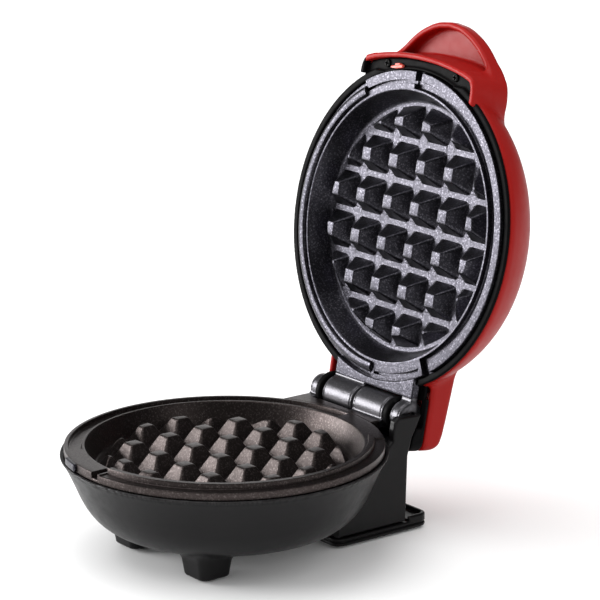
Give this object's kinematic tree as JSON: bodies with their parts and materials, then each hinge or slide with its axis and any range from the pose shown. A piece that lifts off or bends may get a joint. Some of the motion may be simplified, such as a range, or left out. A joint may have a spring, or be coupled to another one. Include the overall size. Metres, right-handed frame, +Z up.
{
  "type": "waffle maker",
  "caption": "Compact round waffle maker, lid open: red domed lid with a front tab, non-stick grid plates on a rear pin hinge, black bowl housing on front legs and a rear column.",
  "frame": {"origin": "on the ground, under the middle of the open object's bounding box", "axes": "+Z up; +Y from the front towards the hinge; +X to the right of a person who faces the front"},
  "size_m": [0.123, 0.1742, 0.1842],
  "materials": {
    "red_plastic": "glossy moulded",
    "black_plastic": "satin moulded",
    "nonstick_plate": "speckled non-stick coating, semi-gloss",
    "element_sheath": "oxidised sheath",
    "shield_metal": "mill sheet",
    "ceramic": "unglazed steatite",
    "nylon": "natural nylon",
    "wire_sleeve": "braided sleeve",
    "rubber": "matte",
    "steel": "zinc plated",
    "lens": "clear tinted",
    "coral_plastic": "moulded"
  },
  "bodies": {
    "base": {"lower_housing": "black_plastic", "rear_stand": "black_plastic", "stand_base_cover": "black_plastic", "lower_plate": "nonstick_plate", "lower_heating_element": "element_sheath", "lower_heat_shield": "shield_metal", "thermostat": "ceramic", "thermal_fuse": "ceramic", "terminal_block": "nylon", "lower_lead_left": "wire_sleeve", "lower_lead_right": "wire_sleeve", "cord_gland": "rubber", "front_foot_pad_left": "rubber", "front_foot_pad_right": "rubber", "rear_foot_pad_left": "rubber", "rear_foot_pad_right": "rubber", "lower_plate_screw_front": "steel", "lower_plate_screw_right": "steel", "lower_plate_screw_left": "steel", "base_cover_screw_1": "steel", "base_cover_screw_2": "steel", "base_cover_screw_3": "steel", "base_cover_screw_4": "steel", "stand_screw_left": "steel", "stand_screw_right": "steel", "hinge_pin": "steel"},
    "lid": {"lid_shell": "red_plastic", "lid_frame": "black_plastic", "upper_plate": "nonstick_plate", "upper_heating_element": "element_sheath", "upper_heat_shield": "shield_metal", "upper_plate_screw_front": "steel", "upper_plate_screw_right": "steel", "upper_plate_screw_left": "steel", "indicator_lens": "lens", "indicator_lamp": "lens", "lid_front_clip": "coral_plastic", "lid_front_screw_left": "steel", "lid_front_screw_right": "steel", "lid_rear_screw_left": "steel", "lid_rear_screw_right": "steel", "upper_lead_left": "wire_sleeve", "upper_lead_right": "wire_sleeve"}
  },
  "joints": [
    {"name": "lid_hinge", "type": "hinge", "parent": "base", "child": "lid", "pos_m": [0, 0.04126, 0.0423], "axis": [1, 0, 0], "range_deg": [0, 100.3]}
  ]
}
